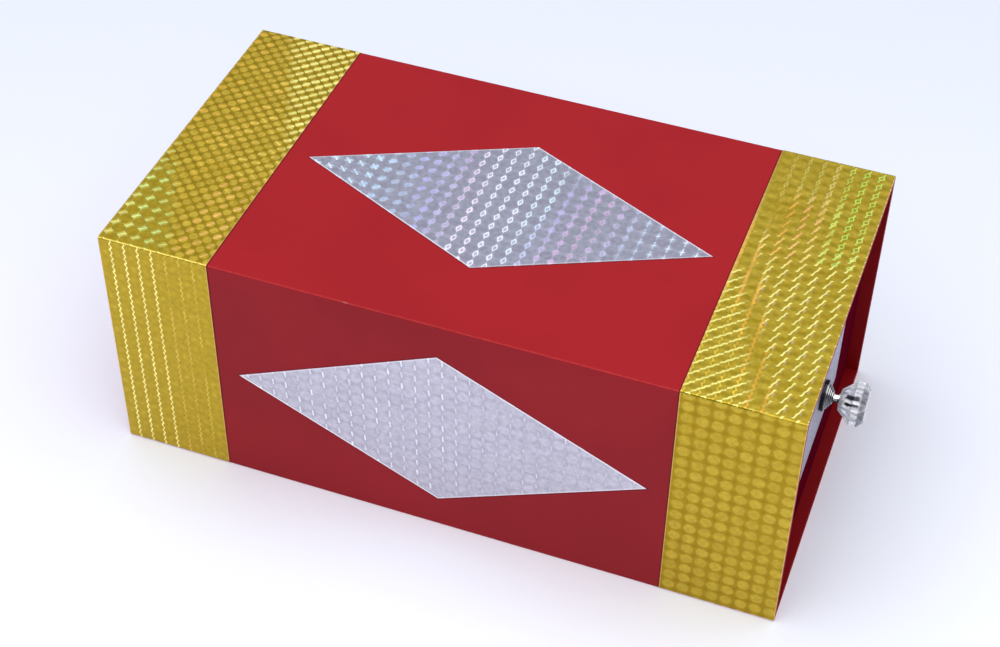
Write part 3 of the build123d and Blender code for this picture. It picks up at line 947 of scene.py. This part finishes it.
def makeKnobBase(plan, material):
    # a disc whose front face is drawn out and resized step by step, as on a lathe
    bpy.ops.object.select_all(action="DESELECT")
    place = (plan["seat"] * mm, 0, axisHeight)
    bpy.ops.mesh.primitive_circle_add(vertices=plan["sides"], radius=plan["flange"] * mm, fill_type="NGON",
                                      location=place, rotation=(0, math.radians(90), 0))
    base = bpy.context.active_object
    base.name = "knobBase"
    bpy.ops.object.transform_apply(location=True, rotation=True, scale=True)
    bpy.ops.object.mode_set(mode="EDIT")
    bpy.ops.mesh.select_all(action="SELECT")
    distance, radius = 0.0, plan["flange"]
    for nextDistance, nextRadius in plan["profile"]:
        step = ((nextDistance - distance) * mm, 0, 0)
        bpy.ops.mesh.extrude_region_move(TRANSFORM_OT_translate={"value": step})
        share = nextRadius / radius
        middle = ((plan["seat"] + nextDistance) * mm, 0, axisHeight)
        bpy.ops.transform.resize(value=(1, share, share), center_override=middle)
        distance, radius = nextDistance, nextRadius
    bpy.ops.mesh.select_all(action="SELECT")
    bpy.ops.mesh.normals_make_consistent(inside=False)
    bpy.ops.object.mode_set(mode="OBJECT")
    bpy.ops.object.shade_smooth_by_angle(angle=math.radians(plan["smooth"]))
    base.data.materials.append(material)
    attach(base, "knob")
    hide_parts("knob_base")


def metalMaterial(name, plan):
    material, tree, shader, place = newMaterial(name)
    handled = useGroup(tree, sharedGroups["smear"], Place=place, Scale=plan["grain"])
    amount = times(tree, handled["Marks"], plan["marks"])
    feed(tree, blendColour(tree, amount, plan["colour"], plan["dark"]), shader["Base Color"])
    shader["Metallic"].default_value = 1.0
    rough = plan["rough"]
    feed(tree, smoothStep(tree, handled["Smear"], 0.2, 0.8, rough * 0.7, rough * 1.4), shader["Roughness"])
    return material


def chromeMaterial(plan):
    # painted reflections: streaks along the stem and the stepped cone stand for the studio that polished chrome
    # mirrors
    material, tree, shader, place = newMaterial("knobChrome")
    seat, groovePlan, edgePlan = knobBasePlan["seat"], plan["groove"], plan["edge"]
    knobPlace = useGroup(tree, sharedGroups["roundAxis"], Place=place)
    handled = useGroup(tree, sharedGroups["smear"], Place=place, Scale=600)
    colour = lay(tree, plan["colour"], handled["Marks"], plan["handledAmount"], plan["handled"])
    onCone = smoothStep(tree, knobPlace["Reach"], *inMetres(plan["coneStart"]))
    onStem = minus(tree, 1.0, onCone)
    # painted grey reflection on the cone's face
    colour = blendColour(tree, onCone, colour, plan["cone"])
    swing = times(tree, minus(tree, knobPlace["Angle"], plan["light"]), 2 * math.tau)
    swing = mathStep(tree, "COSINE", swing)
    facing = smoothStep(tree, swing, 0.0, 0.7)
    # painted shade in the grooves, stronger where the painted bright streaks are
    groove = 0.0
    for distance in knobBasePlan["grooves"]:
        line = lineMask(tree, knobPlace["Along"], seat + distance, groovePlan["halfWidth"])
        groove = mathStep(tree, "MAXIMUM", line, groove)
    grooveAmount = timesPlus(tree, facing, groovePlan["more"], groovePlan["least"])
    groove = times(tree, groove, grooveAmount)
    # painted dark reflection on the flange's rim
    edge = lineMask(tree, knobPlace["Along"], seat + edgePlan["middle"], edgePlan["halfWidth"])
    edge = times(tree, edge, edgePlan["amount"])
    # painted dark reflection streaks along the stem
    shade = times(tree, smoothStep(tree, swing, *plan["shade"]["swing"]), onStem)
    shade = times(tree, shade, plan["shade"]["amount"])
    dark = mathStep(tree, "MAXIMUM", mathStep(tree, "MAXIMUM", groove, edge), shade)
    feed(tree, blendColour(tree, dark, colour, plan["dark"]), shader["Base Color"])
    # painted highlights: the bright streaks glow
    narrow, broad = (smoothStep(tree, swing, *plan[name]) for name in ("narrow", "broad"))
    glance = blendColour(tree, onCone, joinPlace(tree, broad, broad, broad), joinPlace(tree, narrow, narrow, narrow))
    feed(tree, blendColour(tree, dark, glance, (0.0, 0.0, 0.0)), shader["Emission Color"])
    shader["Emission Strength"].default_value = plan["glance"]
    feed(tree, timesPlus(tree, onCone, -0.5, 1.0), shader["Metallic"])
    shader["Specular IOR Level"].default_value = plan["specular"]
    roughness = smoothStep(tree, handled["Smear"], 0.2, 0.8, outLow=0.04, outHigh=0.09)
    feed(tree, timesPlus(tree, onCone, 0.18, roughness), shader["Roughness"])
    return material


def crystalMaterial(plan):
    # painted reflections: the sides show dark and bright streaks, as a cut stone mirrors itself, stronger on every
    # second side
    material, tree, shader, place = newMaterial("cutCrystal")
    knobPlace = useGroup(tree, sharedGroups["roundAxis"], Place=place)
    along = minus(tree, knobPlace["Along"], plan["back"] * mm)
    sides = plan["sides"]
    sector = timesPlus(tree, knobPlace["Angle"], sides, sides + 0.5)
    within = minus(tree, mathStep(tree, "FRACT", sector), 0.5)
    turned = mathStep(tree, "SINE", times(tree, within, math.tau / sides))
    wobble = minus(tree, noise(tree, place, plan["wobble"]["scale"]), 0.5)
    beside = times(tree, knobPlace["Reach"], turned)
    beside = timesPlus(tree, wobble, plan["wobble"]["width"] * mm, beside)
    strong = minus(tree, knobPlace["Angle"], plan["strongSide"])
    strong = mathStep(tree, "COSINE", times(tree, strong, sides / 2 * math.tau))
    strong = smoothStep(tree, strong, -0.1, 0.3, outLow=plan["faint"])
    chance = tree.nodes.new("ShaderNodeTexWhiteNoise")
    chance.noise_dimensions = "1D"
    tree.links.new(mathStep(tree, "FLOOR", times(tree, sector, 2.0)), chance.inputs["W"])
    # painted reflection: each side gets its own tint at random
    colour = lay(tree, plan["clear"], chance.outputs["Value"], plan["coolAmount"], plan["cool"])
    rise, fall = (smoothStep(tree, along, *inMetres(ends)) for ends in plan["streakEnds"].values())
    middle = times(tree, times(tree, rise, fall), strong)
    # painted dark reflection streaks
    for streak in plan["darkStreaks"]:
        colour = lay(tree, colour, lineMask(tree, beside, *streak), middle, plan["dark"])
    # painted highlight streak
    bright = times(tree, lineMask(tree, beside, *plan["brightStreak"]), middle)
    colour = blendColour(tree, bright, colour, (1.0, 1.0, 1.0))
    # painted darkness towards the crystal's back
    behind = smoothStep(tree, along, *inMetres(plan["behind"]), outHigh=plan["behindAmount"])
    colour = blendColour(tree, behind, colour, plan["rim"])
    rimAmount = smoothStep(tree, chance.outputs["Value"], 0.1, 0.5, outLow=0.55, outHigh=0.95)
    # painted dark reflection along the rim line
    colour = lay(tree, colour, lineMask(tree, along, *plan["rimLine"]), rimAmount, plan["rim"])
    feed(tree, colour, shader["Base Color"])
    # painted glow: the whole crystal glows in its colour, white on the highlight streak
    feed(tree, blendColour(tree, bright, colour, (1.0, 1.0, 1.0)), shader["Emission Color"])
    shader["Emission Strength"].default_value = plan["sparkle"]
    shader["Transmission Weight"].default_value = plan["transmission"]
    shader["IOR"].default_value = plan["index"]
    shader["Roughness"].default_value = 0.0
    return material


def dressKnob():
    metals = {name: metalMaterial(name, plan) for name, plan in metalPlans.items()}
    chrome = chromeMaterial(chromePlan)
    makeKnobBase(knobBasePlan, chrome)
    paint(chrome, "knob_base")
    paint(crystalMaterial(crystalPlan), "knob_crystal")
    zinced = ("knob_spindle", "plain_washer", "spring_washer", "spindle_nuts", "lock_bar", "tray_steel_disc")
    paint(metals["zincSteel"], *zinced)
    paint(metals["turnedBrass"], "spindle_bush")
    paint(metals["magnetNickel"], "holding_magnet")


# floor

floorPlan = {
    "size": 60.0,
    # painted light: the floor is lighter towards the near side
    "far": (0.84, 0.865, 0.95),
    "near": (0.98, 0.99, 1.0),
    "slant": -0.35,
    "change": (-0.35, 0.4),  # where near turns into far
    "lift": 0.08,  # a painted glow that lightens the shadows, weaker on the far side
    "liftFar": (0.1, 0.1, 0.11),
}


def makeFloor(plan):
    bpy.ops.object.select_all(action="DESELECT")
    bpy.ops.mesh.primitive_plane_add(size=plan["size"], location=(0, 0, 0))
    floor = bpy.context.active_object
    floor.name = "floor"
    material, tree, shader, place = newMaterial("paleFloor")
    x, y = splitPlace(tree, place)[:2]
    # painted light: the floor is lighter, and glows, towards the near side
    fade = smoothStep(tree, timesPlus(tree, x, plan["slant"], y), *plan["change"])
    feed(tree, blendColour(tree, fade, plan["near"], plan["far"]), shader["Base Color"])
    feed(tree, blendColour(tree, fade, plan["near"], plan["liftFar"]), shader["Emission Color"])
    shader["Emission Strength"].default_value = plan["lift"]
    shader["Roughness"].default_value = 0.8
    shader["Specular IOR Level"].default_value = 0.1
    floor.data.materials.append(material)


makeCamera(cameraPlan)
makeLights(lightPlan)
makeFloor(floorPlan)
bpy.context.scene.view_settings.view_transform = "Standard"
print("camera, lights and floor are in place")
dressFilms()
print("films are dressed")
dressBoards()
dressKnob()
print("boards, knob and hardware are dressed")
